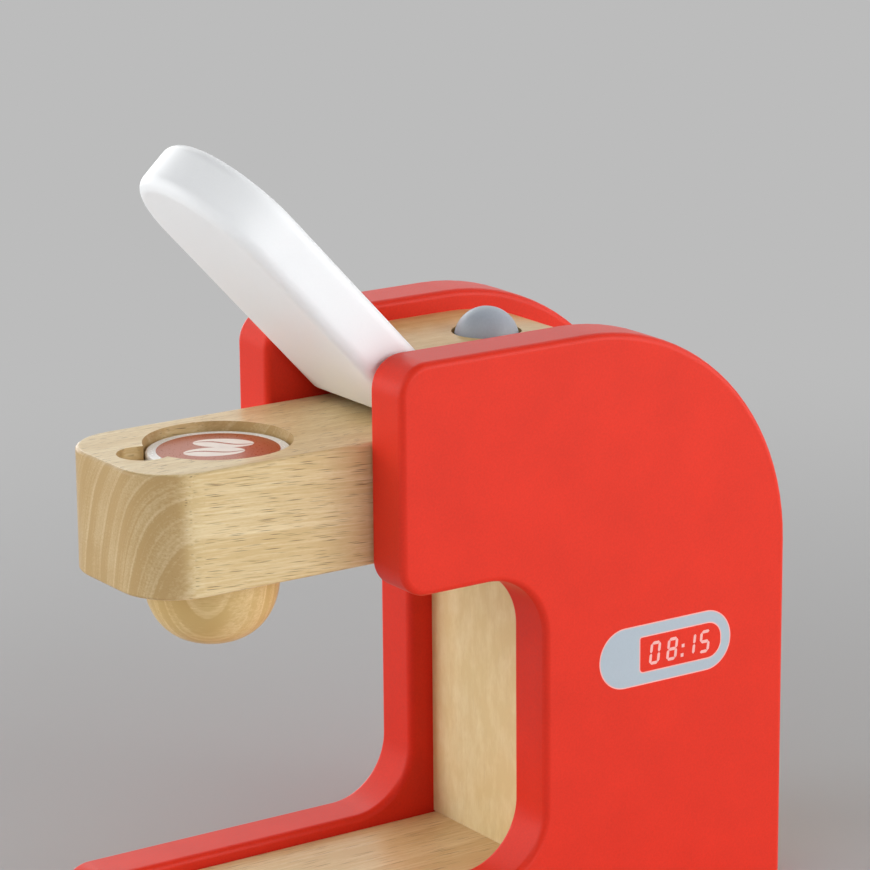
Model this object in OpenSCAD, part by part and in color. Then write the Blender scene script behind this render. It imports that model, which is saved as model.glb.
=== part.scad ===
// Toy coffee maker of painted board and beech: two side panels carry an arm
// with a pod pocket, a hinged lid, a sprung ball button, a spout and a base.
// The back of the toy is +Y, its clock side is +X, and it stands on Z = 0.

/* [Side panels] */
// Height of the side panels
body_h = 190; // [182:1:206]
// Width across the outer faces of both side panels
body_w = 91; // [88:1:104]
// Depth of the head, from its front edges to its back
head_d = 143; // [138:1:160]
// Thickness of each side panel
panel_t = 17; // [16:0.5:19]
// How far the column's front edges lie behind the head's front edges
column_set_back = 51; // [44:1:54]
// How far the head's side panels reach below the arm
head_lip = 7; // [6:0.1:14]
// How far the foot reaches ahead of the head's front edges
foot_reach = 68; // [60:1:71]
// Height of the foot
foot_h = 24; // [23:1:30]
// Radius of the big corner at the top of the back
back_corner_r = 76; // [60:1:76]
// Radius of the two hollow corners of the cup opening
hollow_corner_r = 20; // [12:1:22]
// Radius of the head's upper front corner
head_top_r = 10; // [5:1:16]
// Radius of the head's lower front corner
head_lower_r = 9; // [6:1:16]
// Radius of the foot's upper front corner
foot_top_r = 10; // [5:1:12]
// Radius of the corners that stand on the table
foot_lower_r = 5; // [3:0.5:8]
// Rounding along the edges of the side panels
panel_edge_r = 2.4; // [1:0.1:3]

/* [Arm and pod] */
// How far the arm reaches ahead of the head's front edges
arm_reach = 73.6; // [72:0.1:84]
// Height of the arm
arm_h = 37.3; // [34:0.1:44]
// Distance from the top of the side panels down to the top of the arm
arm_drop = 26; // [24:0.1:30]
// Radius of the arm's front corners, seen from above
arm_corner_r = 18; // [8:1:20]
// Rounding along the arm's edges
arm_edge_r = 1.2; // [0.5:0.1:2.5]
// Distance from the head's front edges to the middle of the pod
pod_lead = 34.3; // [33:0.1:40]
// Diameter of the pod pocket
pocket_d = 44.5; // [40:0.5:47]
// Depth of the pod pocket
pocket_depth = 12; // [9:0.5:16]
// Gap all round between the pod and its pocket
pod_gap = 0.75; // [0.4:0.05:1.2]
// How far the top of the pod lies below the top of the arm
pod_sink = 2.8; // [2.6:0.1:4]
// Rounding of the pod's rims
pod_rim_r = 0.8; // [0.3:0.1:1.5]
// Diameter of the finger notch
notch_d = 16; // [12:0.5:18]
// Distance from the middle of the pod to the middle of the finger notch
notch_lead = 25; // [24:0.5:29]
// Depth of the finger notch
notch_depth = 6; // [4:0.5:8]
// Distance from the head's front edges to the middle of the spout
spout_lead = 37.6; // [34:0.1:42]
// Diameter of the spout where it meets the arm
spout_d = 41.0; // [30:0.1:44]
// Height of the spout
spout_h = 23.2; // [16:0.1:26]

/* [Lid] */
// Thickness of the lid
lid_t = 17; // [14:0.5:18]
// Gap between the lid and each side panel
lid_side_gap = 0.6; // [0.5:0.1:2]
// How far the closed lid reaches past the arm's front end
lid_lip = 5.9; // [2:0.1:8]
// How far the lid reaches behind its hinge pin
lid_tail = 6; // [5.5:0.1:7]
// How far the lid is raised from level
lid_raised = 47; // [0:1:85]
// Rounding along the lid's edges
lid_edge_r = 4; // [1:0.1:4.5]
// Distance from the head's front edges back to the hinge pin
hinge_back = 19.3; // [14:0.1:20]
// Height of the hinge pin above the arm
hinge_rise = 11.6; // [11:0.1:13]
// Diameter of the hinge pin
hinge_d = 5; // [4:0.1:6]
// Running clearance between the lid and its pin, on the radius
hinge_clear = 0.05; // [0.02:0.01:0.1]

/* [Cover] */
// How far the cover lies below the outline of the side panels
cover_inset = 6.4; // [3:0.1:7]
// Thickness of the bent cover
cover_t = 5; // [3:0.5:5.5]
// Gap between the upright lid and the front edge of the cover
cover_gap = 1; // [0.6:0.1:3]
// Depth of the grooves that hold the sheets, in the side panels
groove_depth = 4; // [2:0.5:6]
// Thickness of the crosspiece below the cover's front edge
stop_bar_t = 12; // [8:0.5:14]
// How far the column's wooden front lies behind the column's front edges
column_front_set_back = 8.7; // [6:0.1:12]
// Thickness of the column's wooden front
column_front_t = 5; // [3:0.5:6]

/* [Button] */
// Distance from the head's front edges back to the middle of the button
button_back = 61.5; // [60:0.5:64]
// Diameter of the ball
ball_d = 20; // [16:0.5:22]
// How far the middle of the ball lies below the surface of the cover
ball_sink = 2.5; // [0:0.1:4]
// Gap between the ball and its hole
ball_gap = 0.75; // [0.4:0.05:1.5]
// How far the button can be pressed
button_travel = 5.5; // [3:0.5:6]
// Free space left under the ball when it is pressed right down
ball_rest_gap = 1.1; // [0.5:0.1:2]
// Diameter of the button's stem
stem_d = 10; // [8:0.5:10.5]
// Length of the stem below the top of its block
stem_reach = 20; // [18:0.5:22]
// How far the stem is let into the ball, measured from the ball's middle
stem_socket = 3; // [1:0.5:5]
// Gap between the stem and its bore, on the radius
stem_gap = 0.3; // [0.2:0.05:0.5]
// Diameter of the cross pin that keeps the stem in
cross_pin_d = 3; // [2:0.1:3.5]
// Depth of the cross pin below the top of the block
cross_pin_depth = 12; // [11.5:0.1:12.5]
// Depth of the block from front to back
block_d = 38; // [32:1:44]
// Distance from the stem's axis to the front of the block
block_lead = 14; // [12:0.5:15]
// Wood left under the stem's bore
bore_floor = 4; // [3:0.5:6]
// Outer diameter of the spring
spring_d = 8.6; // [6:0.1:9]
// Diameter of the spring's wire
spring_wire = 0.9; // [0.6:0.05:1.2]
// Number of turns in the spring
spring_turns = 6; // [4:1:8]

/* [Base] */
// Thickness of the base board
base_t = 20; // [16:0.5:22]
// How far the front of the base board lies behind the front of the feet
base_set_back = 8; // [4:1:14]
// Rounding along the edges of the base board
base_edge_r = 1.8; // [0.5:0.1:2.5]
// Diameter of the hollow that the cup stands in
cup_d = 50; // [44:1:52]
// Depth of the hollow that the cup stands in
cup_depth = 2; // [1:0.5:4]

/* [Dowels] */
// Diameter of the dowels in the arm, the block and the base
dowel_d = 8; // [6:0.5:10]
// Depth of a dowel in a side panel
dowel_in_panel = 11; // [8:0.5:13]
// Depth of a dowel in the piece between the panels
dowel_in_wood = 15; // [12:0.5:20]
// Diameter of the small dowels in the crosspiece
small_dowel_d = 6; // [4:0.5:7]
// Distance from the middles of the arm's dowels to the head's front and to the arm's back end
arm_dowel_inset = 12; // [9:0.5:16]
// Distance from the middles of the block's dowels to the nearest upright edges
block_dowel_inset = 9; // [7:0.5:12]
// Distance from the top of the block down to its upper dowels
block_dowel_drop = 12; // [9:0.5:14]
// Distance from the front of the base board back to its front dowels
base_dowel_front = 40; // [20:1:60]
// Distance from the back of the base board to its back dowels
base_dowel_back = 30; // [20:1:60]
// Depth of the spout's dowel in the arm, and in the spout
spout_dowel_in = 11; // [8:0.5:13]
// Gap for glue all round a dowel
glue_gap = 0.05; // [0.02:0.01:0.1]

/* [Hidden] */

// Colours
red_paint = [0.84, 0.13, 0.09];
white_paint = [0.93, 0.93, 0.92];
button_grey = [0.55, 0.6, 0.68];
beech = [0.86, 0.72, 0.52];
birch = [0.88, 0.78, 0.6];
dowel_wood = [0.8, 0.68, 0.5];
steel = [0.7, 0.7, 0.72];

// Smoothness of round shapes
round_fn = 64;
small_fn = 40;
// Arc steps in a big, a middle and a small corner, and in a rounded edge
big_steps = 24;
mid_steps = 10;
corner_steps = 8;
edge_steps = 4;
// Lets a cut run past the face that it opens
cut = 1;

// Places along Y. The middle of the whole length lies at Y = 0
head_front = (arm_reach - head_d) / 2;
head_back = head_front + head_d;
arm_front = head_front - arm_reach;
arm_back = head_front + button_back - block_lead;
block_back = arm_back + block_d;
column_edge = head_front + column_set_back;
column_front_y = column_edge + column_front_set_back;
foot_front = head_front - foot_reach;
pod_y = head_front - pod_lead;
notch_y = pod_y - notch_lead;
spout_y = head_front - spout_lead;
hinge_y = head_front + hinge_back;
cover_front = hinge_y + lid_t / 2 + cover_gap;
button_y = head_front + button_back;
sheet_inner_y = head_back - cover_inset - cover_t;
base_front = foot_front + base_set_back;

// Places along Z
arm_top = body_h - arm_drop;
arm_bottom = arm_top - arm_h;
head_bottom = arm_bottom - head_lip;
cover_top = body_h - cover_inset;
cover_under = cover_top - cover_t;
hinge_z = arm_top + hinge_rise;
ball_z = cover_top - ball_sink;
block_top = ball_z - ball_d / 2 - button_travel - ball_rest_gap;
stem_top = ball_z - stem_socket;
stem_bottom = block_top - stem_reach;
bore_bottom = arm_bottom + bore_floor;
cross_pin_z = block_top - cross_pin_depth;
pod_top = arm_top - pod_sink;
pod_bottom = arm_top - pocket_depth;
sheet_bottom = panel_edge_r;

// Widths
inner_w = body_w - 2 * panel_t;
lid_w = inner_w - 2 * lid_side_gap;
lid_reach = hinge_back + arm_reach + lid_lip;
sheet_w = inner_w + 2 * (groove_depth - glue_gap);

// Dowel places, as [y, z]
arm_dowel_places = [
    [head_front + arm_dowel_inset, arm_bottom + arm_h / 2],
    [arm_back - arm_dowel_inset, arm_bottom + arm_h / 2]
];
block_dowel_places = [
    [block_back - block_dowel_inset, block_top - block_dowel_drop],
    [arm_back + block_dowel_inset, arm_bottom + block_dowel_inset]
];
base_dowel_places = [
    [base_front + base_dowel_front, base_t / 2],
    [sheet_inner_y - base_dowel_back, base_t / 2]
];
stop_bar_dowel_places = [[cover_front + stop_bar_t / 2, (arm_top + cover_under) / 2]];

// Unit vector along v
function unit(v) = v / norm(v);

// Corner i of a closed outline, moved in by d and rounded. An outline is a list
// of [x, y, radius, arc steps], running counter-clockwise. A hollow corner's
// radius grows as the outline moves in, and any other corner's shrinks.
function rounded_corner(outline, i, d) =
    let(
        n = len(outline),
        here = [outline[i][0], outline[i][1]],
        last = [outline[(i + n - 1) % n][0], outline[(i + n - 1) % n][1]],
        next = [outline[(i + 1) % n][0], outline[(i + 1) % n][1]],
        along = unit(here - last),
        onward = unit(next - here),
        side = [-along[1], along[0]],
        next_side = [-onward[1], onward[0]],
        turn = atan2(along[0] * onward[1] - along[1] * onward[0], along * onward),
        way = sign(turn),
        r = max(outline[i][2] - d * way, 0.01),
        tip = here + d * (side + next_side) / (1 + side * next_side),
        centre = tip - along * r * tan(abs(turn) / 2) + side * r * way,
        steps = outline[i][3]
    )
    [for (k = [0:steps]) centre + r * way * (along * sin(turn * k / steps) - side * cos(turn * k / steps))];

// All points of the outline, moved in by d
function rounded_outline(outline, d) =
    [for (i = [0:len(outline) - 1]) each rounded_corner(outline, i, d)];

// A quarter round as [inset, height] pairs, from the flat face up to the side
function quarter_round(r, steps) =
    [for (k = [0:steps]) [r * (1 - sin(90 * k / steps)), r * (1 - cos(90 * k / steps))]];

// Number of the first point of corner i
function first_point(outline, i) = i == 0 ? 0 : first_point(outline, i - 1) + outline[i - 1][3] + 1;

// Triangles that fan out from the first of the given points to all the others
function fan(points) = [for (k = [1:len(points) - 2]) [points[0], points[k], points[k + 1]]];

// A board of the given outline and thickness, with rounded edges on both faces.
// The pieces are lists of point numbers that share out the flat faces, each to be
// seen whole from its first point. A board without hollows needs just one.
module rounded_board(outline, t, edge_r, pieces = [], steps = edge_steps) {
    lower = quarter_round(edge_r, steps);
    levels = concat(lower, [for (k = [steps:-1:0]) [lower[k][0], t - lower[k][1]]]);
    rings = [for (level = levels) [for (p = rounded_outline(outline, level[0])) [p[0], p[1], level[1]]]];
    n = len(rings[0]);
    top = (len(rings) - 1) * n;
    sides = [for (j = [0:len(rings) - 2]) for (i = [0:n - 1])
        [j * n + i, (j + 1) * n + i, (j + 1) * n + (i + 1) % n, j * n + (i + 1) % n]];
    flats = len(pieces) > 0 ? [for (piece = pieces) each fan(piece)] : fan([for (i = [0:n - 1]) i]);
    upper_face = [for (f = flats) [top + f[2], top + f[1], top + f[0]]];
    polyhedron([for (ring = rings) each ring], concat(sides, flats, upper_face), convexity = 8);
}

// Puts a shape drawn in x and y into the Y and Z plane, with its height along X
module upright() {
    rotate([90, 0, 90]) children();
}

// A cylinder along X, with its middle at the given place
module cross_cylinder(length, d, y, z, fn = small_fn) {
    translate([-length / 2, y, z]) rotate([0, 90, 0]) cylinder(h = length, d = d, $fn = fn);
}

// Dowels in pairs, one through each inner face of the side panels
module dowel_pairs(places, d, in_panel, in_wood, extra = 0) {
    for (side = [-1, 1], place = places) {
        middle = side * (inner_w / 2 + (in_panel - in_wood) / 2);
        translate([middle, 0, 0])
            cross_cylinder(in_panel + in_wood + 2 * extra, d + 2 * extra, place[0], place[1]);
    }
}

// Outline of a side panel, as [y, z, radius, steps]
function panel_outline() = [
    [foot_front, 0, foot_lower_r, corner_steps],
    [head_back, 0, foot_lower_r, corner_steps],
    [head_back, body_h, back_corner_r, big_steps],
    [head_front, body_h, head_top_r, corner_steps],
    [head_front, head_bottom, head_lower_r, corner_steps],
    [column_edge, head_bottom, hollow_corner_r, mid_steps],
    [column_edge, foot_h, hollow_corner_r, mid_steps],
    [foot_front, foot_h, foot_top_r, corner_steps]
];

// The side panel's flat faces in two pieces: the lower is seen whole from the
// foot's back corner, and the upper from the top of the big corner
function panel_pieces() =
    let(
        outline = panel_outline(),
        foot_back = first_point(outline, 2) - 1,
        head_top = first_point(outline, 3) - 1,
        neck = first_point(outline, 6) - 1,
        last = first_point(outline, 8) - 1
    )
    [
        concat([foot_back], [for (i = [neck:last]) i], [for (i = [0:foot_back - 1]) i]),
        concat([for (i = [head_top:neck]) i], [for (i = [foot_back:head_top - 1]) i])
    ];

// Section of the bent cover: straight at the top, bent by the panels' big
// corner and straight down the back, grown by extra all round
module cover_section(extra = 0) {
    bend_y = head_back - back_corner_r;
    bend_z = body_h - back_corner_r;
    outer_r = back_corner_r - cover_inset + extra;
    inner_r = back_corner_r - cover_inset - cover_t - extra;
    translate([cover_front - extra, bend_z + inner_r])
        square([bend_y - cover_front + extra, outer_r - inner_r]);
    translate([bend_y + inner_r, sheet_bottom - extra])
        square([outer_r - inner_r, bend_z - sheet_bottom + extra]);
    intersection() {
        translate([bend_y, bend_z]) difference() {
            circle(r = outer_r, $fn = 2 * round_fn);
            circle(r = inner_r, $fn = 2 * round_fn);
        }
        translate([bend_y, bend_z]) square(outer_r);
    }
}

// Section of the column's wooden front, grown by extra all round
module column_front_section(extra = 0) {
    translate([column_front_y - extra, base_t - extra])
        square([column_front_t + 2 * extra, arm_bottom - base_t + 2 * extra]);
}

// The clock-side panel, with what is cut into its inner face
module side_panel() {
    inner_x = inner_w / 2;
    difference() {
        translate([inner_x, 0, 0]) upright()
            rounded_board(panel_outline(), panel_t, panel_edge_r, panel_pieces());
        translate([inner_x - cut, 0, 0]) upright() linear_extrude(groove_depth + cut) {
            cover_section(glue_gap);
            column_front_section(glue_gap);
        }
        dowel_pairs(arm_dowel_places, dowel_d, dowel_in_panel, dowel_in_wood, glue_gap);
        dowel_pairs(block_dowel_places, dowel_d, dowel_in_panel, dowel_in_wood, glue_gap);
        dowel_pairs(base_dowel_places, dowel_d, dowel_in_panel, dowel_in_wood, glue_gap);
        dowel_pairs(stop_bar_dowel_places, small_dowel_d, dowel_in_panel, dowel_in_wood, glue_gap);
        cross_cylinder(inner_w + 2 * (dowel_in_panel + glue_gap), hinge_d + 2 * glue_gap, hinge_y, hinge_z);
    }
}

module right_side_panel() {
    color(red_paint) side_panel();
}

module left_side_panel() {
    color(red_paint) mirror([1, 0, 0]) side_panel();
}

// Bent sheet over the top and down the back, held in the panels' grooves
module bent_cover() {
    color(birch) difference() {
        translate([-sheet_w / 2, 0, 0]) upright() linear_extrude(sheet_w) cover_section();
        translate([0, button_y, cover_under - cut])
            cylinder(h = cover_t + 2 * cut, d = ball_d + 2 * ball_gap, $fn = round_fn);
    }
}

// Flat sheet that closes the front of the column
module column_front() {
    color(birch) translate([-sheet_w / 2, 0, 0])
        upright() linear_extrude(sheet_w) column_front_section();
}

// Board between the feet, with the hollow that the cup stands in
module base_board() {
    base_back = sheet_inner_y;
    edge = inner_w / 2;
    square_r = base_edge_r + 0.2;
    outline = [
        [-edge, base_front, square_r, corner_steps / 2],
        [edge, base_front, square_r, corner_steps / 2],
        [edge, base_back, square_r, corner_steps / 2],
        [-edge, base_back, square_r, corner_steps / 2]
    ];
    color(beech) difference() {
        rounded_board(outline, base_t, base_edge_r);
        translate([0, spout_y, base_t - cup_depth]) cylinder(h = cup_depth + cut, d = cup_d, $fn = round_fn);
        dowel_pairs(base_dowel_places, dowel_d, dowel_in_panel, dowel_in_wood, glue_gap);
    }
}

module base_dowels() {
    color(dowel_wood) dowel_pairs(base_dowel_places, dowel_d, dowel_in_panel, dowel_in_wood);
}

// Arm block, from its rounded front end back to the button's block
module brew_arm() {
    edge = inner_w / 2;
    square_r = arm_edge_r + 0.2;
    outline = [
        [-edge, arm_front, arm_corner_r, corner_steps],
        [edge, arm_front, arm_corner_r, corner_steps],
        [edge, arm_back, square_r, corner_steps / 2],
        [-edge, arm_back, square_r, corner_steps / 2]
    ];
    color(beech) difference() {
        translate([0, 0, arm_bottom]) rounded_board(outline, arm_h, arm_edge_r);
        translate([0, pod_y, pod_bottom]) cylinder(h = pocket_depth + cut, d = pocket_d, $fn = round_fn);
        translate([0, notch_y, arm_top - notch_depth])
            cylinder(h = notch_depth + cut, d = notch_d, $fn = round_fn);
        translate([0, spout_y, arm_bottom - cut])
            cylinder(h = spout_dowel_in + glue_gap + cut, d = dowel_d + 2 * glue_gap, $fn = small_fn);
        dowel_pairs(arm_dowel_places, dowel_d, dowel_in_panel, dowel_in_wood, glue_gap);
    }
}

module arm_dowels() {
    color(dowel_wood) dowel_pairs(arm_dowel_places, dowel_d, dowel_in_panel, dowel_in_wood);
}

// Profile of the spout: a half ball drawn a little fuller towards its rim
function spout_profile(steps = 14, fullness = 2.3) = concat(
    [[0, 0]],
    [for (k = [0:steps - 1]) let(a = 90 * k / steps)
        [spout_d / 2 * pow(cos(a), 2 / fullness), -spout_h * pow(sin(a), 2 / fullness)]],
    [[0, -spout_h]]
);

module spout_dome() {
    color(beech) translate([0, spout_y, arm_bottom]) difference() {
        rotate_extrude($fn = round_fn) polygon(spout_profile());
        translate([0, 0, -spout_dowel_in - glue_gap])
            cylinder(h = spout_dowel_in + glue_gap + cut, d = dowel_d + 2 * glue_gap, $fn = small_fn);
    }
}

module spout_dowel() {
    color(dowel_wood) translate([0, spout_y, arm_bottom - spout_dowel_in])
        cylinder(h = 2 * spout_dowel_in, d = dowel_d, $fn = small_fn);
}

// Half section of a turned disc or bar: a rectangle with rounded outer corners
function turned_profile(r, h, rim_r, steps = edge_steps) =
    let(round = quarter_round(rim_r, steps))
    concat(
        [[0, 0]],
        [for (q = round) [r - q[0], q[1]]],
        [for (k = [steps:-1:0]) [r - round[k][0], h - round[k][1]]],
        [[0, h]]
    );

// Loose wooden pod, lying on the floor of its pocket
module pod_disc() {
    color(white_paint) translate([0, pod_y, pod_bottom])
        rotate_extrude($fn = round_fn)
            polygon(turned_profile(pocket_d / 2 - pod_gap, pod_top - pod_bottom, pod_rim_r));
}

// Lid plate with a half-round free end, turning on its pin near the back end
module lid() {
    r = lid_w / 2;
    square_r = lid_edge_r + 0.2;
    outline = [
        [-r, -lid_reach, r, 2 * mid_steps],
        [r, -lid_reach, r, 2 * mid_steps],
        [r, lid_tail, square_r, corner_steps / 2],
        [-r, lid_tail, square_r, corner_steps / 2]
    ];
    color(white_paint) translate([0, hinge_y, hinge_z]) rotate([-lid_raised, 0, 0]) difference() {
        translate([0, 0, -lid_t / 2]) rounded_board(outline, lid_t, lid_edge_r);
        cross_cylinder(lid_w + 2 * cut, hinge_d + 2 * hinge_clear, 0, 0);
    }
}

module lid_hinge_pin() {
    color(dowel_wood) cross_cylinder(inner_w + 2 * dowel_in_panel, hinge_d, hinge_y, hinge_z);
}

// Crosspiece behind the lid, under the front edge of the cover
module lid_stop_bar() {
    color(beech) difference() {
        translate([-inner_w / 2, cover_front, arm_top]) cube([inner_w, stop_bar_t, cover_under - arm_top]);
        dowel_pairs(stop_bar_dowel_places, small_dowel_d, dowel_in_panel, dowel_in_wood, glue_gap);
    }
}

module stop_bar_dowels() {
    color(dowel_wood) dowel_pairs(stop_bar_dowel_places, small_dowel_d, dowel_in_panel, dowel_in_wood);
}

// Block behind the arm, bored for the button's stem and its cross pin
module button_block() {
    color(beech) difference() {
        translate([-inner_w / 2, arm_back, arm_bottom]) cube([inner_w, block_d, block_top - arm_bottom]);
        translate([0, button_y, bore_bottom])
            cylinder(h = block_top - bore_bottom + cut, d = stem_d + 2 * stem_gap, $fn = small_fn);
        cross_cylinder(inner_w + 2 * cut, cross_pin_d + 2 * glue_gap, button_y, cross_pin_z);
        dowel_pairs(block_dowel_places, dowel_d, dowel_in_panel, dowel_in_wood, glue_gap);
    }
}

module block_dowels() {
    color(dowel_wood) dowel_pairs(block_dowel_places, dowel_d, dowel_in_panel, dowel_in_wood);
}

// Ball with a socket for its stem
module button_ball() {
    color(button_grey) translate([0, button_y, ball_z]) difference() {
        sphere(d = ball_d, $fn = round_fn);
        translate([0, 0, -ball_d / 2 - cut])
            cylinder(h = ball_d / 2 - stem_socket + glue_gap + cut, d = stem_d + 2 * glue_gap, $fn = small_fn);
    }
}

// Stem with the slot that the cross pin runs in
module button_stem() {
    slot_d = cross_pin_d + 2 * stem_gap;
    color(dowel_wood) difference() {
        translate([0, button_y, stem_bottom]) cylinder(h = stem_top - stem_bottom, d = stem_d, $fn = small_fn);
        cross_cylinder(stem_d + 2 * cut, slot_d, button_y, cross_pin_z);
        cross_cylinder(stem_d + 2 * cut, slot_d, button_y, cross_pin_z + button_travel);
        translate([-stem_d / 2 - cut, button_y - slot_d / 2, cross_pin_z])
            cube([stem_d + 2 * cut, slot_d, button_travel]);
    }
}

module stem_cross_pin() {
    color(steel) cross_cylinder(inner_w, cross_pin_d, button_y, cross_pin_z);
}

// Wound spring in the bottom of the bore: one wire swept along a helix
module button_spring(steps_a_turn = 14, wire_sides = 6) {
    wire_r = spring_wire / 2;
    coil_r = spring_d / 2 - wire_r;
    low = bore_bottom + wire_r + glue_gap;
    rise = stem_bottom - bore_bottom - spring_wire - 2 * glue_gap;
    n = spring_turns * steps_a_turn;
    rings = [for (k = [0:n]) let(a = 360 * k / steps_a_turn, z = low + rise * k / n)
        [for (s = [0:wire_sides - 1]) let(b = 360 * s / wire_sides, r = coil_r + wire_r * cos(b))
            [r * cos(a), r * sin(a), z + wire_r * sin(b)]]];
    sides = [for (k = [0:n - 1]) for (s = [0:wire_sides - 1]) let(t = (s + 1) % wire_sides)
        each [
            [k * wire_sides + s, k * wire_sides + t, (k + 1) * wire_sides + t],
            [k * wire_sides + s, (k + 1) * wire_sides + t, (k + 1) * wire_sides + s]
        ]];
    first_end = [for (s = [wire_sides - 1:-1:0]) s];
    last_end = [for (s = [0:wire_sides - 1]) n * wire_sides + s];
    color(steel) translate([0, button_y, 0])
        polyhedron([for (ring = rings) each ring], concat(sides, [first_end, last_end]), convexity = 10);
}

left_side_panel();
right_side_panel();
bent_cover();
column_front();
base_board();
base_dowels();
brew_arm();
arm_dowels();
spout_dome();
spout_dowel();
pod_disc();
lid();
lid_hinge_pin();
lid_stop_bar();
stop_bar_dowels();
button_block();
block_dowels();
button_ball();
button_stem();
stem_cross_pin();
button_spring();
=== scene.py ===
"""Looks of a toy coffee maker of painted board and beech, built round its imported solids.

+Y is the back, +X the side with the clock print, and the toy stands on Z = 0.
The toy's sizes and places are in mm, and MM makes them metres. The studio's are in metres.
"""

import math

import bpy
import numpy as np
from mathutils import Matrix, Vector


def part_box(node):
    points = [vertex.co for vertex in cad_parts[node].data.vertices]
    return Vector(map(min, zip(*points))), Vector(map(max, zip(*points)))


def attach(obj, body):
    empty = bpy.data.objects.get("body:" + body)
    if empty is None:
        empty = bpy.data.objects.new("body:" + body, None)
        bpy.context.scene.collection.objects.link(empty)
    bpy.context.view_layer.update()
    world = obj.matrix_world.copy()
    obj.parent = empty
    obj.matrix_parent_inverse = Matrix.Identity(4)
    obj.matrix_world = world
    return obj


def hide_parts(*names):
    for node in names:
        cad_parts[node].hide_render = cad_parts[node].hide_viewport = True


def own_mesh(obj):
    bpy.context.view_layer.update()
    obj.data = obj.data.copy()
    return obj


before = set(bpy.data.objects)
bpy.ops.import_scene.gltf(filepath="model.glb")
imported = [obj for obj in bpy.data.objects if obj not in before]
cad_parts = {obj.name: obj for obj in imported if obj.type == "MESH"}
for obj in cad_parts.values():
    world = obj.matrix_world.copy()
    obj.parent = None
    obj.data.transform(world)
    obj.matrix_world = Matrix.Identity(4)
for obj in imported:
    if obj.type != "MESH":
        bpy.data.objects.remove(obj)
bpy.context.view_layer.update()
MM = 0.001

# Sizes of the toy. What hangs from the top of the panels is measured down from it

TOP = 190
FRONT, BACK = -102.7, 108.3
BOARD = 17
INNER = 28.5

# Side panels: the bends of their outline, and the rounding of their edges

BACK_BEND = 76
HEAD_FRONT = -34.7
HEAD_UNDER = TOP - 70.3
COLUMN_FRONT = 16.3
FOOT_TOP = 24
PANEL_EDGE = 2.2

# Lid: half its width, and how far it reaches from its pin

LID_HALF = 27.9
LID_TIP, LID_HEEL = -98.8, 6
LID_HEEL_R = 4.2
LID_EDGE = 4
LID_RAISED = 47
PIN_Y, PIN_Z = -15.4, TOP - 14.4

# Spout

SPOUT_R, SPOUT_DROP = 20.5, 23.2
SPOUT_FULLNESS = 2.4
SPOUT_Y, ARM_UNDER = -72.3, TOP - 63.3

# Button, with its spring's wire and the rise of the spring's end turns

BALL_R = 10
BUTTON_Y, BALL_Z = 26.8, TOP - 8.9
SPRING_TURNS = 6
WIRE_R = 0.45
END_RISE = 1.1

# Pod

POD_R, POD_HIGH, POD_RIM = 21.5, 9.2, 0.8
POD_Y, POD_UNDER = -69, TOP - 38

# Cover: the outer radius of its bend

COVER_BEND = 69.6

# Ink lies flat on its face, each layer a little over the last. The panels' faces leave room for it

POD_INK = 0.01
CLOCK_INK = 0.008
CLOCK_LAYERS = 5
FACE_X = INNER + BOARD - CLOCK_LAYERS * CLOCK_INK

# Lacquer on wood, and how deep the wood's grain and the paint's pebbling are

LACQUER_ROUGHNESS = 0.3
LACQUER_GLOSS = 0.2
GRAIN_DEPTH = 0.05
PEBBLE_DEPTH = 0.02


# Shapes

def add_mesh(name, points, faces, materials, normals=None, face_slots=None, flats=0):
    """A mesh object from arrays of points and faces, shaded smooth by the given normal of each point.

    The corners of the last faces, as many as flats says, take their own face's normal.
    """
    mesh = bpy.data.meshes.new(name)
    mesh.from_pydata(points.reshape(-1, 3).tolist(), [], faces)
    for material in materials:
        mesh.materials.append(material)
    if face_slots is not None:
        mesh.polygons.foreach_set("material_index", np.asarray(face_slots, np.int32))
    if normals is not None:
        smooth = normals.reshape(-1, 3)[np.concatenate(faces)]
        if flats:
            own = np.empty(len(faces) * 3, np.float32)
            mesh.polygons.foreach_get("normal", own)
            corners = [len(face) for face in faces[-flats:]]
            smooth[-sum(corners):] = np.repeat(own.reshape(-1, 3)[-flats:], corners, 0)
        mesh.polygons.foreach_set("use_smooth", np.ones(len(mesh.polygons), bool))
        mesh.normals_split_custom_set(smooth.tolist())
    mesh.update()
    piece = bpy.data.objects.new(name, mesh)
    bpy.context.scene.collection.objects.link(piece)
    return piece


def grid_faces(rows, columns):
    """Faces of a grid whose last column joins its first: (i, j), (i, j+1), (i+1, j+1), (i+1, j)."""
    i = np.arange(rows - 1)[:, None]
    j = np.arange(columns)[None, :]
    k = (j + 1) % columns
    here, below = i * columns, (i + 1) * columns
    return np.stack([here + j, here + k, below + k, below + j], -1).reshape(-1, 4).tolist()


def tube_faces(rows, columns):
    """The same grid with its faces turned round, closed by a face at its first row and one at its last."""
    faces = [face[::-1] for face in grid_faces(rows, columns)]
    last = (rows - 1) * columns
    return faces + [list(range(columns)), list(range(last, last + columns))[::-1]]


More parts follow.
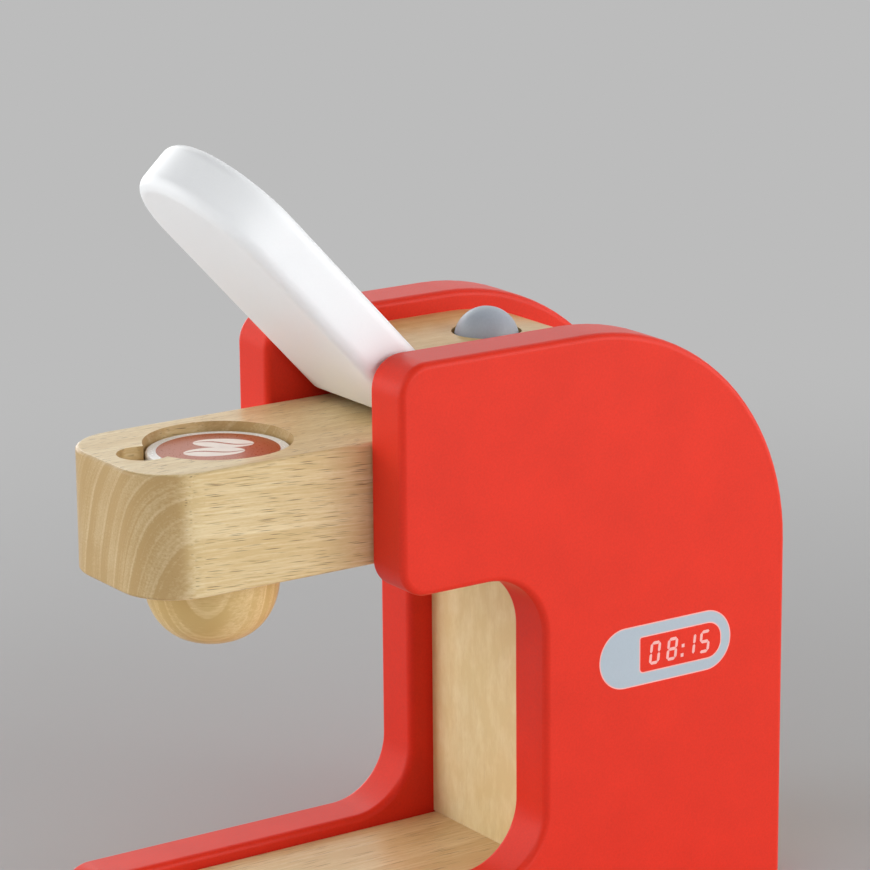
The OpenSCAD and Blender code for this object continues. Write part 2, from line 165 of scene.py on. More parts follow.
def rounded_outline(corners, inset=0.0, steps=24):
    """Closed outline through corners [u, v, radius], moved in by inset, with its outward directions.

    At a corner the path turns by t from direction a to direction b. The tip moves
    in by inset * (normal a + normal b) / (1 + normal a . normal b), the arc's
    centre lies tan(t / 2) radii back along a, and its points are the centre plus
    the radius turned from 0 to t. A hollow corner's radius grows by the inset,
    and another's shrinks, but not below the least.
    """
    least = 0.01
    c = np.asarray(corners, float)
    here, radius = c[:, :2], c[:, 2]
    along = here - np.roll(here, 1, 0)
    along /= np.linalg.norm(along, axis=1, keepdims=True)
    onward = np.roll(along, -1, 0)
    side = np.stack([-along[:, 1], along[:, 0]], 1)
    next_side = np.roll(side, -1, 0)
    turn = np.arctan2(along[:, 0] * onward[:, 1] - along[:, 1] * onward[:, 0], (along * onward).sum(1))
    way = np.sign(turn)[:, None]
    r = np.maximum(radius - inset * way[:, 0], least)[:, None]
    tip = here + inset * (side + next_side) / (1 + (side * next_side).sum(1, keepdims=True))
    centre = tip - along * r * np.tan(np.abs(turn) / 2)[:, None] + side * r * way
    a = np.abs(turn)[:, None, None] * np.linspace(0, 1, steps + 1)[None, :, None]
    out = along[:, None] * np.sin(a) - (side * way)[:, None] * np.cos(a)
    points = centre[:, None] + r[:, None] * out
    return points.reshape(-1, 2), (way[:, None] * out).reshape(-1, 2)


def put(points, place):
    """Points (u, v, height) turned and moved by a 4 x 4 placing, in metres."""
    return (points @ place[:3, :3].T + place[:3, 3]) * MM


def board(name, corners, thickness, edge_r, place, material, steps=10):
    """A board with rounded edges: a profile carried round an outline, closed by two flat faces.

    The profile runs from the lower flat to the upper: inset r (1 - sin a) and
    height r (1 - cos a) for a from 0 to 90 degrees, then the same from the top.
    """
    a = np.linspace(0, np.pi / 2, steps + 1)
    inset = edge_r * (1 - np.sin(a))
    height = edge_r * (1 - np.cos(a))
    insets = np.concatenate([inset, inset[::-1]])
    heights = np.concatenate([height, thickness - height[::-1]])[:, None, None]
    lean = np.concatenate([np.sin(a), np.sin(a[::-1])])[:, None, None]
    rise = np.concatenate([-np.cos(a), np.cos(a[::-1])])[:, None, None]
    rings, outward = (np.array(v) for v in zip(*[rounded_outline(corners, depth) for depth in insets]))
    level = np.ones(rings.shape[:2] + (1,))
    points = np.concatenate([rings, heights * level], -1)
    normals = np.concatenate([outward * lean, rise * level], -1)
    rows, columns = rings.shape[:2]
    faces = grid_faces(rows, columns)
    faces.append(list(range(columns))[::-1])
    faces.append(list(range((rows - 1) * columns, rows * columns)))
    if np.linalg.det(place[:3, :3]) < 0:
        faces = [face[::-1] for face in faces]
    return add_mesh(name, put(points, place), faces, [material], normals @ place[:3, :3].T, flats=2)


def turned_piece(name, profile, slopes, centre, material, sides=128):
    """A turned piece: the half section (radius, height) carried round the upright axis, from top to bottom.

    slopes are the outward normals (outward, up) at the profile's points.
    """
    angle = np.arange(sides) * 2 * np.pi / sides
    ring = np.stack([np.cos(angle), np.sin(angle)], -1)
    points = np.concatenate([profile[:, None, :1] * ring, np.repeat(profile[:, None, 1:], sides, 1)], -1)
    normals = np.concatenate([slopes[:, None, :1] * ring, np.repeat(slopes[:, None, 1:], sides, 1)], -1)
    faces = tube_faces(len(profile), sides)
    return add_mesh(name, (points + np.asarray(centre)) * MM, faces, [material], normals, flats=2)


def flat_print(name, layers, place, materials):
    """Printed ink: each layer is a flat closed outline of (u, v), its height and its ink's number."""
    outlines, levels, inks = zip(*layers)
    lengths = [len(outline) for outline in outlines]
    heights = np.repeat(levels, lengths)[:, None]
    points = np.concatenate([np.concatenate(outlines), heights], 1)
    faces = [list(range(end - n, end)) for end, n in zip(np.cumsum(lengths), lengths)]
    placed = put(points, place)
    normals = np.broadcast_to(place[:3, 2], placed.shape)
    return add_mesh(name, placed, faces, materials, normals, inks)


def joined_triangles(mesh):
    """A mesh of loose triangles joined: its points, each once to a micron, and each triangle's three."""
    place = np.empty(len(mesh.vertices) * 3, np.float32)
    mesh.vertices.foreach_get("co", place)
    corner = np.empty(len(mesh.loops), np.int32)
    mesh.loops.foreach_get("vertex_index", corner)
    points, joined = np.unique(np.round(place.reshape(-1, 3), 6), axis=0, return_inverse=True)
    return points, joined.ravel()[corner].reshape(-1, 3)


def smooth_copy(name, node, material, angle=35):
    """A copy of a CAD solid with its triangles joined and shaded smooth.

    A corner's normal is the sum of the normals round its point that lie within
    the angle, each times the area of the whole flat that its triangle is part of.
    So flats stay flat, and only the roundings between them are smooth. Triangles
    are of one flat when their normals agree to 1 / 500 and their planes to 0.1 mm,
    and those with no area are left out.
    """
    points, tri = joined_triangles(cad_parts[node].data)
    cross = np.cross(points[tri[:, 1]] - points[tri[:, 0]], points[tri[:, 2]] - points[tri[:, 0]])
    size = np.linalg.norm(cross, axis=1)
    sound = size > 1e-13
    tri, cross, size = tri[sound], cross[sound], size[sound]
    normal = cross / size[:, None]
    plane = np.round(np.column_stack([normal * 500, (normal * points[tri[:, 0]]).sum(1) * 1e4]))
    flat = np.unique(plane, axis=0, return_inverse=True)[1].ravel()
    flat_area = np.bincount(flat, size)[flat]
    # Each corner is paired with every triangle round its point
    at_point = tri.ravel()
    of_face = np.repeat(np.arange(len(tri)), 3)
    order = np.argsort(at_point, kind="stable")
    count = np.bincount(at_point)
    first = np.cumsum(count) - count
    mates = count[at_point]
    mine = np.repeat(np.arange(len(at_point)), mates)
    step = np.arange(len(mine)) - np.repeat(np.cumsum(mates) - mates, mates)
    mate = of_face[order[first[at_point[mine]] + step]]
    near = (normal[of_face[mine]] * normal[mate]).sum(1) > math.cos(math.radians(angle))
    weight = flat_area[mate] * near
    smooth = np.stack([np.bincount(mine, weight * normal[mate, k]) for k in range(3)], -1)
    smooth /= np.linalg.norm(smooth, axis=1, keepdims=True)
    piece = add_mesh(name, points, tri.tolist(), [material])
    piece.data.polygons.foreach_set("use_smooth", np.ones(len(tri), bool))
    piece.data.normals_split_custom_set(smooth.tolist())
    return piece


# Shader helpers

def linear(*srgb):
    """Linear colour, with alpha, of 8-bit sRGB values."""
    c = np.asarray(srgb, float) / 255
    return (*np.where(c <= 0.04045, c / 12.92, ((c + 0.055) / 1.055) ** 2.4).tolist(), 1.0)


def add_node(tree, kind, inputs=None, **options):
    """Adds a shader node, sets its options, and gives its inputs values or links."""
    made = tree.nodes.new("ShaderNode" + kind)
    for option, value in options.items():
        setattr(made, option, value)
    for socket, value in (inputs or {}).items():
        if isinstance(value, bpy.types.NodeSocket):
            tree.links.new(value, made.inputs[socket])
        else:
            made.inputs[socket].default_value = value
    return made


def maths(tree, operation, a, b=0.0):
    """The output of a Math node."""
    return add_node(tree, "Math", {0: a, 1: b}, operation=operation).outputs[0]


def vector_maths(tree, operation, a, b):
    """The output of a Vector Math node."""
    return add_node(tree, "VectorMath", {0: a, 1: b}, operation=operation).outputs[0]


def length(tree, vector):
    """How long a vector is."""
    return add_node(tree, "VectorMath", {0: vector}, operation="LENGTH").outputs["Value"]


def blend_colours(tree, amount, a, b, way="MIX"):
    """The output of a Mix node for colours."""
    return add_node(tree, "Mix", {0: amount, 6: a, 7: b}, data_type="RGBA", blend_type=way).outputs[2]


def ease(tree, value, low, high, to_low=0.0, to_high=1.0):
    """A smooth step from to_low to to_high as the value goes from low to high."""
    return add_node(tree, "MapRange", {
        "Value": value, "From Min": low, "From Max": high, "To Min": to_low, "To Max": to_high,
    }, interpolation_type="SMOOTHSTEP").outputs[0]


def noise(tree, vector, scale, detail=2.0, output=0):
    """Noise from 0 to 1, its frequency given apart along x, y and z."""
    stretched = vector_maths(tree, "MULTIPLY", vector, scale)
    return add_node(tree, "TexNoise", {"Vector": stretched, "Scale": 1.0, "Detail": detail}).outputs[output]


def cells(tree, vector, scale):
    """Voronoi cells, their number per unit given apart along x, y and z."""
    stretched = vector_maths(tree, "MULTIPLY", vector, scale)
    return add_node(tree, "TexVoronoi", {"Vector": stretched, "Scale": 1.0, "Randomness": 1.0}).outputs


def new_group(name, inputs, outputs):
    """An empty shader node group, with the sockets of its inside."""
    tree = bpy.data.node_groups.new(name, "ShaderNodeTree")
    for label, kind, value in inputs:
        socket = tree.interface.new_socket(label, in_out="INPUT", socket_type="NodeSocket" + kind)
        if value is not None:
            socket.default_value = value
    for label, kind in outputs:
        tree.interface.new_socket(label, in_out="OUTPUT", socket_type="NodeSocket" + kind)
    return tree, tree.nodes.new("NodeGroupInput").outputs, tree.nodes.new("NodeGroupOutput").inputs


# Effects shared by materials. Their places are in mm, and so their frequencies are per mm

def wandering(tree, place):
    """The place moved across the grain by a slow noise, so that a tree's rings aren't round."""
    furthest = 12.0
    slow = noise(tree, place, (0.018, 0.006, 0.018), 1.5, "Color")
    centred = vector_maths(tree, "SUBTRACT", slow, (0.5, 0.5, 0.5))
    shift = vector_maths(tree, "MULTIPLY", centred, (furthest, 0.0, furthest))
    return vector_maths(tree, "ADD", place, shift)


def ring_parts(tree, radius, gap):
    """The dark and the pale part of a tree's rings.

    In its gap a ring darkens slowly and ends sharply, with a pale line about its end.
    """
    phase = maths(tree, "FRACT", maths(tree, "DIVIDE", radius, gap))
    dark = maths(tree, "SUBTRACT", ease(tree, phase, 0.25, 0.93), ease(tree, phase, 0.93, 1.0))
    pale = maths(tree, "ADD", ease(tree, phase, 0.0, 0.16, 1.0, 0.0), ease(tree, phase, 0.95, 1.0))
    return dark, pale


def ring_streaks(tree, radius, place):
    """Streaks that follow the rings, drawn out along the grain."""
    along = add_node(tree, "SeparateXYZ", {0: place}).outputs[1]
    across = maths(tree, "MULTIPLY", radius, 1.3)
    where = add_node(tree, "CombineXYZ", {0: across, 1: maths(tree, "MULTIPLY", along, 0.02)}).outputs[0]
    return noise(tree, where, (1.0, 1.0, 1.0))


def fleck_mask(tree, place):
    """Flecks: long thin spindles, each at the middle of a cell of its own, of varied length and strength."""
    smallest, largest, faintest = 0.05, 0.48, 0.35
    cell = cells(tree, place, (2.6, 0.1, 2.6))
    chance = add_node(tree, "SeparateColor", {0: cell["Color"]}).outputs
    reach = ease(tree, chance[0], 0.3, 1.0, smallest, largest)
    fleck = ease(tree, maths(tree, "DIVIDE", cell["Distance"], reach), 0.3, 1.0, 1.0, 0.0)
    return maths(tree, "MULTIPLY", fleck, ease(tree, chance[1], 0.0, 1.0, faintest, 1.0))


def wood_grain_group():
    """Grain of a solid piece. Vector is the place in mm with the grain along Y and the tree's heart at 0.

    Facing is 1 on end grain and 0 along the grain. The parts of the grain, each
    with its share, add up to a tone, which mixes the light wood with the dark.
    """
    tree, given, out = new_group("wood_grain", [
        ("Vector", "Vector", None), ("Facing", "Float", 0.0), ("Light", "Color", (0.8, 0.6, 0.4, 1)),
        ("Dark", "Color", (0.6, 0.4, 0.2, 1)), ("End", "Color", (0.7, 0.6, 0.5, 1)),
        ("Ring gap", "Float", 6.0), ("Rings", "Float", 1.0), ("Flecks", "Float", 1.0),
        ("Fibre", "Float", 1.0), ("Clouds", "Float", 1.0),
    ], [("Color", "Color"), ("Height", "Float")])
    middle_tone, fleck_brown = 0.78, linear(104, 68, 30)
    place, facing = given["Vector"], given["Facing"]
    moved = wandering(tree, place)
    radius = length(tree, vector_maths(tree, "MULTIPLY", moved, (1.0, 0.0, 1.0)))
    dark, pale = ring_parts(tree, radius, given["Ring gap"])
    streak = ring_streaks(tree, radius, place)
    fibre = noise(tree, moved, (1.7, 0.045, 1.7), 4.0)
    fine = noise(tree, place, (5.0, 0.5, 5.0))
    broad = noise(tree, place, (0.05, 0.012, 0.05))
    cloud = noise(tree, place, (0.3, 0.13, 0.3), 3.0)
    fleck = fleck_mask(tree, place)
    pore = ease(tree, cells(tree, place, (2.2, 0.3, 2.2))["Distance"], 0.1, 0.32, 1.0, 0.0)
    # The tone, with the rings plainest on end grain
    ring_share = maths(tree, "MULTIPLY", given["Rings"], ease(tree, facing, 0.0, 1.0, 0.13, 0.36))
    streak_share = maths(tree, "MULTIPLY", given["Rings"], ease(tree, facing, 0.0, 1.0, 0.35, 1.0))
    tone = maths(tree, "MULTIPLY", dark, ring_share)
    for part, share in [
        (fibre, maths(tree, "MULTIPLY", given["Fibre"], 1.1)), (broad, 0.7), (fine, 0.35),
        (cloud, maths(tree, "MULTIPLY", given["Clouds"], 0.5)), (streak, streak_share),
    ]:
        tone = maths(tree, "ADD", tone, maths(tree, "MULTIPLY", maths(tree, "SUBTRACT", part, 0.5), share))
    pale_share = maths(tree, "MULTIPLY", ring_share, 0.45)
    tone = maths(tree, "SUBTRACT", tone, maths(tree, "MULTIPLY", pale, pale_share))
    tone = maths(tree, "ADD", tone, maths(tree, "MULTIPLY", pore, 0.2))
    tone = add_node(tree, "Math", {0: tone, 1: middle_tone}, operation="ADD", use_clamp=True).outputs[0]
    colour = blend_colours(tree, tone, given["Light"], given["Dark"])
    # Flecks, which fade on end grain, and the tint of the cut ends
    fleck_share = maths(tree, "MULTIPLY", fleck, given["Flecks"])
    fleck_share = maths(tree, "MULTIPLY", fleck_share, ease(tree, facing, 0.0, 1.0, 0.9, 0.15))
    colour = blend_colours(tree, fleck_share, colour, fleck_brown)
    cut = blend_colours(tree, 1.0, colour, given["End"], "MULTIPLY")
    tree.links.new(blend_colours(tree, facing, colour, cut), out["Color"])
    low = maths(tree, "ADD", maths(tree, "MULTIPLY", fleck, -0.6), maths(tree, "MULTIPLY", fibre, 0.5))
    tree.links.new(maths(tree, "ADD", low, maths(tree, "MULTIPLY", fine, 0.25)), out["Height"])
    return tree


def paint_film_group():
    """A sprayed film: fine pebbling, and a slight mottling of its colour. Vector is the place in mm."""
    tree, given, out = new_group("paint_film", [
        ("Vector", "Vector", None), ("Color", "Color", (0.8, 0.8, 0.8, 1)), ("Mottle", "Float", 1.0),
    ], [("Color", "Color"), ("Height", "Float"), ("Roughness", "Float")])
    fine = noise(tree, given["Vector"], (1.5, 1.5, 1.5), 3.0)
    cloud = noise(tree, given["Vector"], (0.06, 0.06, 0.06))
    tone = maths(tree, "MULTIPLY", maths(tree, "SUBTRACT", fine, 0.5), 0.22)
    tone = maths(tree, "ADD", tone, maths(tree, "MULTIPLY", maths(tree, "SUBTRACT", cloud, 0.5), 0.16))
    tone = maths(tree, "ADD", maths(tree, "MULTIPLY", tone, given["Mottle"]), 1.0)
    colour = add_node(tree, "VectorMath", {0: given["Color"], 3: tone}, operation="SCALE").outputs[0]
    tree.links.new(colour, out["Color"])
    tree.links.new(maths(tree, "ADD", fine, maths(tree, "MULTIPLY", cloud, 0.6)), out["Height"])
    tree.links.new(ease(tree, fine, 0.2, 0.8, -0.04, 0.04), out["Roughness"])
    return tree


WOOD_GRAIN = wood_grain_group()
PAINT_FILM = paint_film_group()


# Materials

def new_material(name, roughness):
    """A material with its node tree, its Principled BSDF and its texture coordinates."""
    material = bpy.data.materials.new(name)
    material.use_nodes = True
    tree = material.node_tree
    shader = tree.nodes["Principled BSDF"]
    shader.inputs["Roughness"].default_value = roughness
    return material, tree, shader, add_node(tree, "TexCoord").outputs


def in_mm(tree, place, origin=(0, 0, 0)):
    """A place in metres made a place in mm, measured from the origin given."""
    return add_node(tree, "Mapping", {
        "Vector": place, "Location": tuple(-1.0 * v for v in origin), "Scale": (1 / MM, 1 / MM, 1 / MM),
    }).outputs[0]


def bump(tree, shader, height, depth):
    """Gives the shader a bump of the height times depth."""
    made = add_node(tree, "Bump", {"Height": height, "Distance": depth * MM, "Strength": 1.0})
    tree.links.new(made.outputs[0], shader.inputs["Normal"])


def wood(name, light, dark, end=(0.74, 0.67, 0.59, 1), heart=(0, 0, 0), turn=(0, 0, 0), grain=1,
         ring_gap=6.0, rings=1.0, flecks=1.0, fibre=1.0, clouds=0.4, bent=False):
    """Lacquered wood.

    end tints its cut ends, heart is the tree's middle, turn its tilt in degrees,
    grain the axis that the end grain faces, and ring_gap the way from ring to
    ring. The rest are shares of the parts of the grain. Bent wood reads the place
    along its bend and its cut ends from attributes of the mesh.
    """
    material, tree, shader, where = new_material(name, LACQUER_ROUGHNESS)
    shader.inputs["Specular IOR Level"].default_value = LACQUER_GLOSS
    if bent:
        start = add_node(tree, "Attribute", attribute_name="along_bend").outputs["Vector"]
        facing = add_node(tree, "Attribute", attribute_name="end_cut").outputs["Fac"]
    else:
        start = where["Object"]
        parts = add_node(tree, "SeparateXYZ", {0: where["Normal"]}).outputs
        facing = ease(tree, maths(tree, "ABSOLUTE", parts[grain]), 0.2, 0.46)
    tilt = tuple(math.radians(v) for v in turn)
    place = add_node(tree, "Mapping", {"Vector": in_mm(tree, start, heart), "Rotation": tilt}).outputs[0]
    grains = add_node(tree, "Group", {
        "Vector": place, "Facing": facing, "Light": light, "Dark": dark, "End": end, "Ring gap": ring_gap,
        "Rings": rings, "Flecks": flecks, "Fibre": fibre, "Clouds": clouds,
    }, node_tree=WOOD_GRAIN)
    tree.links.new(grains.outputs["Color"], shader.inputs["Base Color"])
    bump(tree, shader, grains.outputs["Height"], GRAIN_DEPTH)
    return material


def paint(name, colour, roughness, mottle, gloss):
    """Sprayed satin paint or printed ink. mottle is how uneven its colour is."""
    material, tree, shader, where = new_material(name, roughness)
    shader.inputs["Specular IOR Level"].default_value = gloss
    film = add_node(tree, "Group", {
        "Vector": in_mm(tree, where["Object"]), "Color": colour, "Mottle": mottle,
    }, node_tree=PAINT_FILM)
    tree.links.new(film.outputs["Color"], shader.inputs["Base Color"])
    rough = maths(tree, "ADD", film.outputs["Roughness"], roughness)
    tree.links.new(rough, shader.inputs["Roughness"])
    bump(tree, shader, film.outputs["Height"], PEBBLE_DEPTH)
    return material


def steel_wire(name):
    """Drawn steel: fine lines across X."""
    material, tree, shader, where = new_material(name, 0.3)
    shader.inputs["Metallic"].default_value = 1.0
    lines = noise(tree, where["Object"], (200.0, 9000.0, 9000.0))
    colour = blend_colours(tree, lines, linear(170, 172, 176), linear(205, 206, 210))
    tree.links.new(colour, shader.inputs["Base Color"])
    return material


RED = paint("red_paint", (0.765, 0.0345, 0.0155, 1), 0.4, mottle=1.0, gloss=0.17)
WHITE = paint("white_paint", linear(246, 248, 250), 0.38, mottle=0.12, gloss=0.3)
POD_WHITE = paint("pod_white", linear(243, 242, 238), 0.25, mottle=0.12, gloss=0.5)
GREY = paint("button_grey", linear(168, 177, 188), 0.42, mottle=0.7, gloss=0.35)
BROWN_INK = paint("brown_ink", linear(172, 82, 36), 0.3, mottle=0.5, gloss=0.27)
CREAM_INK = paint("cream_ink", linear(245, 234, 224), 0.34, mottle=0.3, gloss=0.15)
GREY_INK = paint("grey_ink", linear(178, 191, 201), 0.35, mottle=0.4, gloss=0.3)
PINK_INK = paint("pink_ink", linear(246, 184, 178), 0.35, mottle=0.4, gloss=0.3)
ARM_WOOD = wood("arm_beech", linear(251, 237, 200), linear(216, 189, 138), heart=(74, 0, TOP - 86),
                turn=(4.7, 0, 0), ring_gap=8.0)
SPOUT_WOOD = wood("spout_beech", linear(247, 225, 176), linear(214, 183, 124), end=(0.95, 0.93, 0.87, 1),
                  heart=(-37, -47.5, TOP - 68), turn=(0, 0, 33.5), ring_gap=4.0, rings=1.4, flecks=0.2)
COVER_WOOD = wood("cover_birch", linear(241, 214, 156), linear(208, 168, 100), heart=(24, 0, 46),
                  ring_gap=9.0, rings=0.5, flecks=0.2, fibre=0.5, clouds=1.8, bent=True)
FRONT_WOOD = wood("front_birch", linear(255, 245, 207), linear(230, 211, 158), heart=(30, 90, 0),
                  turn=(90, 0, 0), grain=2, ring_gap=12.0, rings=0.3, flecks=0.1, fibre=0.2, clouds=2.2)
BASE_WOOD = wood("base_beech", linear(247, 232, 194), linear(213, 186, 135), heart=(15, 0, -50))
BLOCK_WOOD = wood("block_beech", linear(238, 218, 174), linear(204, 172, 120), heart=(-40, 0, TOP - 82))
DOWEL_WOOD = wood("dowel_wood", linear(230, 206, 160), linear(198, 166, 116), grain=0, flecks=0.5)
STEEL = steel_wire("steel")


# Pieces

def upright(x, way=1):
    """Puts (u, v, height) at Y = u, Z = v and X = x plus way times the height."""
    place = np.zeros((4, 4))
    place[1, 0] = place[2, 1] = place[3, 3] = 1
    place[0, 2], place[0, 3] = way, x
    return place


def dress(piece, body, node):
    """Rides the piece on its body, in place of its CAD solid if it has one."""
    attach(piece, body)
    if node:
        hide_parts(node)


def side_panel(name, node, way):
    """A side panel: a C-shaped board, its outer face set back by the thickness of the print.

    Each corner of its outline is Y, Z and the corner's radius.
    """
    outline = np.array([
        [FRONT, 0, 5], [BACK, 0, 5], [BACK, TOP, BACK_BEND], [HEAD_FRONT, TOP, 10],
        [HEAD_FRONT, HEAD_UNDER, 9], [COLUMN_FRONT, HEAD_UNDER, 20],
        [COLUMN_FRONT, FOOT_TOP, 20], [FRONT, FOOT_TOP, 10],
    ])
    piece = board(name, outline, FACE_X - INNER, PANEL_EDGE, upright(way * INNER, way), RED)
    dress(piece, "body", node)


def lid():
    """The lid: a plate with a half-round free end, raised about its pin.

    u runs across the lid, v from its free end past the pin, at 0, to its heel. The
    pin is half way up its thickness.
    """
    tip_r = LID_HALF - 0.05
    outline = np.array([
        [-LID_HALF, LID_TIP, tip_r], [LID_HALF, LID_TIP, tip_r],
        [LID_HALF, LID_HEEL, LID_HEEL_R], [-LID_HALF, LID_HEEL, LID_HEEL_R],
    ])
    turn = math.radians(LID_RAISED)
    place = np.eye(4)
    place[1:3, 1:3] = [[math.cos(turn), math.sin(turn)], [-math.sin(turn), math.cos(turn)]]
    place[:3, 3] = np.array([0, PIN_Y, PIN_Z]) - BOARD / 2 * place[:3, 2]
    dress(board("lid_plate", outline, BOARD, LID_EDGE, place, WHITE), "lid", "lid")


def spout():
    """The spout: (r / SPOUT_R)^n + (z / SPOUT_DROP)^n = 1 below the arm, a little fuller than a half ball.

    With n = SPOUT_FULLNESS, r goes as cos^(2/n) t and z as sin^(2/n) t, and the
    normal as their powers n - 1, each over its own size.
    """
    n = SPOUT_FULLNESS
    t = np.linspace(0, np.pi / 2, 49)[:-1, None]
    r, z = np.cos(t) ** (2 / n), np.sin(t) ** (2 / n)
    slopes = np.hstack([r ** (n - 1) / SPOUT_R, -(z ** (n - 1)) / SPOUT_DROP])
    slopes /= np.linalg.norm(slopes, axis=1, keepdims=True)
    profile = np.hstack([SPOUT_R * r, -SPOUT_DROP * z])
    piece = turned_piece("spout_cap", profile, slopes, (0, SPOUT_Y, ARM_UNDER), SPOUT_WOOD)
    dress(piece, "body", "spout_dome")


def button():
    """The button's ball: radius R sin t, height R cos t, from its top down to where the stem leaves it."""
    t = np.radians(np.linspace(1, 149, 75))[:, None]
    slopes = np.hstack([np.sin(t), np.cos(t)])
    piece = turned_piece("button_knob", BALL_R * slopes, slopes, (0, BUTTON_Y, BALL_Z), GREY)
    dress(piece, "button", "button_ball")


def spring():
    """The button's spring: a round wire carried along a helix, its end turns wound close.

    The wire's middle is at (c cos a, c sin a, z), where z rises by END_RISE in each
    end turn and evenly between them. The wire is r cos b outward from it and r sin b
    up.
    """
    low, high = (np.array(corner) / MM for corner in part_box("button_spring"))
    steps, sides = 40, 12
    turn = np.linspace(0, SPRING_TURNS, SPRING_TURNS * steps + 1)
    first, last = low[2] + WIRE_R, high[2] - WIRE_R
    heights = [first, first + END_RISE, last - END_RISE, last]
    middle = np.interp(turn, [0, 1, SPRING_TURNS - 1, SPRING_TURNS], heights)
    a, b = turn[:, None] * 2 * np.pi, np.arange(sides)[None, :] * 2 * np.pi / sides
    coil = (high[0] - low[0]) / 2 - WIRE_R
    normals = np.stack([np.cos(a) * np.cos(b), np.sin(a) * np.cos(b), np.sin(b) + 0 * a], -1)
    centre = np.stack([coil * np.cos(a), coil * np.sin(a), middle[:, None]], -1) + [0, BUTTON_Y, 0]
    points = (centre + WIRE_R * normals) * MM
    piece = add_mesh("spring_wire", points, tube_faces(len(turn), sides), [STEEL], normals, flats=2)
    dress(piece, "body", "button_spring")
    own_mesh(piece)


def pod():
    """The pod: a disc whose rims are quarter rounds."""
    a = np.linspace(0, np.pi / 2, 9)[:, None]
    upper = np.hstack([np.sin(a), np.cos(a)])
    lower = (upper * [1, -1])[::-1]
    slopes = np.vstack([upper, lower])
    reach = POD_R - POD_RIM
    middles = np.repeat([[reach, POD_HIGH - POD_RIM], [reach, POD_RIM]], len(a), 0)
    piece = turned_piece("pod_body", middles + POD_RIM * slopes, slopes, (0, POD_Y, POD_UNDER), POD_WHITE)
    dress(piece, "pod", "pod_disc")


def bent_cover():
    """The cover, with its place along the bend on each point: (x, way along the bend, height in the wood).

    The bend is a quarter round, whose middle is that of the panels' back bend.
    Ahead of it the way is y, round it the angle times the radius, and below it
    that and the drop. A face is a cut end where its normal lies along the way.
    """
    piece = smooth_copy("cover_wood", "bent_cover", COVER_WOOD)
    mesh = piece.data
    place = np.empty(len(mesh.vertices) * 3, np.float32)
    mesh.vertices.foreach_get("co", place)
    x, y, z = place.reshape(-1, 3).T
    r, middle_y, middle_z = COVER_BEND * MM, (BACK - BACK_BEND) * MM, (TOP - BACK_BEND) * MM
    over, up = np.maximum(y - middle_y, 0), np.maximum(z - middle_z, 0)
    angle = np.where(z < middle_z, np.pi / 2, np.arctan2(over, np.maximum(up, 1e-9)))
    drop = np.where(y > middle_y, np.maximum(middle_z - z, 0), 0)
    way = np.where(y < middle_y, y - middle_y, r * angle) + drop
    depth = np.where(y < middle_y, up, np.where(z < middle_z, over, np.hypot(over, up))) - r
    along_bend = mesh.attributes.new("along_bend", "FLOAT_VECTOR", "POINT")
    along_bend.data.foreach_set("vector", np.column_stack([x, way, depth]).ravel())
    normal = np.empty(len(mesh.polygons) * 3, np.float32)
    centre = np.empty(len(mesh.polygons) * 3, np.float32)
    mesh.polygons.foreach_get("normal", normal)
    mesh.polygons.foreach_get("center", centre)
    normal, centre = normal.reshape(-1, 3), centre.reshape(-1, 3)
    flat_top = (centre[:, 1] < middle_y) & (centre[:, 2] > middle_z)
    upright_part = (centre[:, 1] > middle_y) & (centre[:, 2] < middle_z)
    facing = np.where(flat_top, np.abs(normal[:, 1]), np.where(upright_part, np.abs(normal[:, 2]), 0))
    end_cut = mesh.attributes.new("end_cut", "FLOAT", "CORNER")
    end_cut.data.foreach_set("value", np.repeat(facing > 0.7, 3).astype(np.float32))
    dress(piece, "body", "bent_cover")


def turned_about(centre, x, y, angle):
    """Points (x, y) turned by the angle in degrees and moved to the centre."""
    a = math.radians(angle)
    turned = x * np.cos(a) - y * np.sin(a), x * np.sin(a) + y * np.cos(a)
    return np.stack([centre[0] + turned[0], centre[1] + turned[1]], -1)


def ellipse(centre, long_r, short_r, angle, n=72):
    """Closed outline of an ellipse, its long axis turned by the angle in degrees."""
    t = np.arange(n) * 2 * np.pi / n
    return turned_about(centre, long_r * np.cos(t), short_r * np.sin(t), angle)


def bean_slit(centre, angle):
    """The slit of a bean: a band along (s, sway sin(pi s / reach)), width cos(pi s / 2.2 reach) wide."""
    reach, sway, width = 9.3, -1.3, 1.3
    s = np.linspace(-reach, reach, 25)
    middle = sway * np.sin(np.pi * s / reach)
    half = width / 2 * np.cos(np.pi * s / (2.2 * reach))
    sides = np.concatenate([middle - half, (middle + half)[::-1]])
    return turned_about(centre, np.concatenate([s, s[::-1]]), sides, angle)


def pod_print():
    """The print on the pod: two beans on a brown disc."""
    disc_r, bean_long, bean_short = 18.3, 9.1, 4.9
    brown, cream = 0, 1
    layers = [(ellipse((0, POD_Y), disc_r, disc_r, 0, 128), POD_INK, brown)]
    for centre, angle in [((-5.2, -64.1), 52), ((1.6, -71.3), 67)]:
        layers.append((ellipse(centre, bean_long, bean_short, angle), 2 * POD_INK, cream))
        layers.append((bean_slit(centre, angle), 3 * POD_INK, brown))
    place = np.eye(4)
    place[2, 3] = POD_UNDER + POD_HIGH
    piece = flat_print("pod_print", layers, place, [BROWN_INK, CREAM_INK])
    dress(piece, "pod", None)


# How far the clock's figures lean for each mm of their height
SLANT = 0.125


